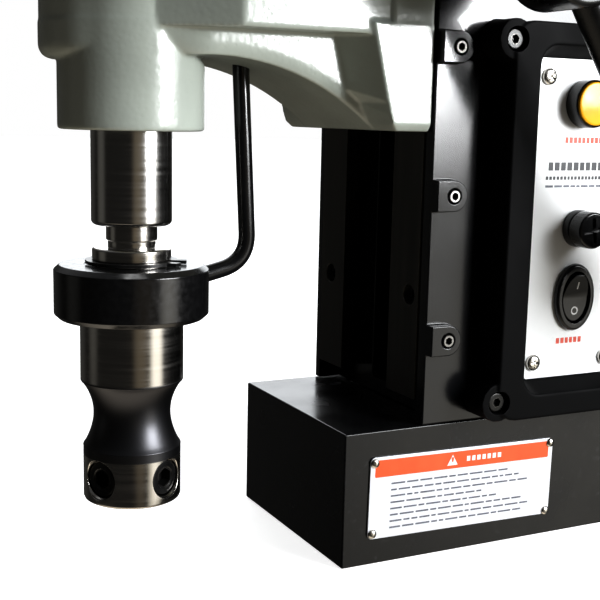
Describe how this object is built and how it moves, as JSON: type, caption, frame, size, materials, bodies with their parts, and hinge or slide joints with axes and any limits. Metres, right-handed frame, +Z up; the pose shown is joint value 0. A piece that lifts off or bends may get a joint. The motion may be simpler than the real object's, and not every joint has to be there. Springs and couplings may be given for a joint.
{
  "type": "magnetic drill press",
  "caption": "Magnetic drill press: electromagnet base, slide column with rack-fed drill head, geared motor, spindle with cutter arbor and coolant ring, and a control box.",
  "frame": {"origin": "centre of the magnet's underside, on the face it clamps with", "axes": "+Z up along the head's slide; -Y towards the spindle; +X towards the operator's right, the control and capstan side"},
  "size_m": [0.1425, 0.2668, 0.332],
  "materials": {
    "magnet_black": "satin black enamel on a machined steel block",
    "column_black": "satin black paint with a fine orange-peel grain",
    "rail_steel": "dark oiled steel",
    "head_paint": "light grey-green hammered paint, satin",
    "motor_paint": "light grey-green hammered paint, satin",
    "bright_steel": "ground and polished",
    "ground_steel": "ground, unpainted",
    "black_oxide": "black oxide, lightly oiled",
    "bronze": "turned bronze",
    "copper": "copper winding and bars",
    "potting_resin": "cast resin",
    "winding": "varnished laminations and winding",
    "carbon": "pressed carbon",
    "case_black": "satin black",
    "gloss_black": "gloss black",
    "grip_black": "polished black phenolic",
    "gland_black": "matt black",
    "board_green": "solder-masked board",
    "panel_white": "white printed panel, satin",
    "label_metal": "printed thin metal plate",
    "amber": "translucent amber, gloss"
  },
  "bodies": {
    "frame": {"magnet_body": "magnet_black", "magnet_coil": "copper", "coil_potting": "potting_resin", "label_plate": "label_metal", "column_frame": "column_black", "guide_rail_near": "rail_steel", "guide_rail_far": "rail_steel", "rail_screw_near": "black_oxide", "rail_screw_far": "black_oxide", "gib_screw_1": "bright_steel", "gib_screw_2": "bright_steel", "gib_screw_3": "bright_steel", "shaft_bush_near": "bronze", "shaft_bush_far": "bronze", "control_box": "case_black", "control_panel": "panel_white", "control_board": "board_green", "button_housing": "gloss_black", "fuse_holder": "gloss_black", "motor_switch_body": "gloss_black", "magnet_switch_body": "gloss_black", "rear_cover": "case_black", "cable_gland": "gland_black", "carry_handle": "column_black"},
    "drill_head": {"head_casting": "head_paint", "gear_case_cover": "motor_paint", "feed_rack": "ground_steel", "motor_housing": "motor_paint", "motor_end_cap": "case_black", "stator": "winding", "brush_1": "carbon", "brush_2": "carbon", "spindle_bearing_lower": "ground_steel", "spindle_bearing_upper": "ground_steel", "coolant_ring": "black_oxide", "coolant_tube": "black_oxide"},
    "spindle": {"spindle": "bright_steel", "spindle_gear": "ground_steel", "arbor": "bright_steel", "arbor_screw_1": "black_oxide", "arbor_screw_2": "black_oxide", "circlip": "black_oxide"},
    "lay_shaft": {"lay_shaft": "ground_steel"},
    "rotor": {"rotor": "winding", "commutator": "copper", "motor_fan": "gland_black"},
    "capstan": {"pinion_shaft": "ground_steel", "capstan_hub": "black_oxide", "capstan_spoke_1": "black_oxide", "capstan_spoke_2": "black_oxide", "capstan_spoke_3": "black_oxide", "spoke_grip_1": "grip_black", "spoke_grip_2": "grip_black", "spoke_grip_3": "grip_black"},
    "reverse_button": {"reverse_button": "amber"},
    "fuse_cap": {"fuse_cap": "gloss_black"},
    "motor_rocker": {"motor_rocker": "gloss_black"},
    "magnet_rocker": {"magnet_rocker": "gloss_black"},
    "speed_dial": {"speed_dial": "gloss_black"}
  },
  "joints": [
    {"name": "head_slide", "type": "slide", "parent": "frame", "child": "drill_head", "axis": [0, 0, 1], "range_m": [-0.095, 0.04]},
    {"name": "capstan_turn", "type": "hinge", "parent": "frame", "child": "capstan", "pos_m": [0.085, -0.037, 0.21], "axis": [1, 0, 0], "range_deg": [-256, 606]},
    {"name": "spindle_turn", "type": "hinge", "parent": "drill_head", "child": "spindle", "pos_m": [0, -0.1504, 0.1204], "axis": [0, 0, 1], "continuous": true},
    {"name": "lay_shaft_turn", "type": "hinge", "parent": "drill_head", "child": "lay_shaft", "pos_m": [-0.01785, -0.1315, 0.1885], "axis": [0, 0, 1], "continuous": true},
    {"name": "rotor_turn", "type": "hinge", "parent": "drill_head", "child": "rotor", "pos_m": [0, -0.117, 0.1987], "axis": [0, 0, 1], "continuous": true},
    {"name": "reverse_button_push", "type": "slide", "parent": "frame", "child": "reverse_button", "axis": [-1, 0, 0], "range_m": [0, 0.0015], "stiffness_N_per_m": 600, "springref_m": -0.002},
    {"name": "fuse_cap_turn", "type": "hinge", "parent": "frame", "child": "fuse_cap", "pos_m": [0.0473, 0.0055, 0.1197], "axis": [1, 0, 0], "range_deg": [0, 90]},
    {"name": "motor_rocker_tilt", "type": "hinge", "parent": "frame", "child": "motor_rocker", "pos_m": [0.0475, 0.0055, 0.094], "axis": [0, -1, 0], "range_deg": [0, 16]},
    {"name": "magnet_rocker_tilt", "type": "hinge", "parent": "frame", "child": "magnet_rocker", "pos_m": [0, 0.0625, 0.15], "axis": [1, 0, 0], "range_deg": [0, 16]},
    {"name": "speed_dial_turn", "type": "hinge", "parent": "frame", "child": "speed_dial", "pos_m": [0, 0.062, 0.11], "axis": [0, 1, 0], "range_deg": [0, 270]}
  ],
  "couplings": [
    {"joint": "capstan_turn", "follows": "head_slide", "rad_per_m": -111.11},
    {"joint": "lay_shaft_turn", "follows": "spindle_turn", "ratio": -3.3333},
    {"joint": "rotor_turn", "follows": "spindle_turn", "ratio": 12}
  ]
}
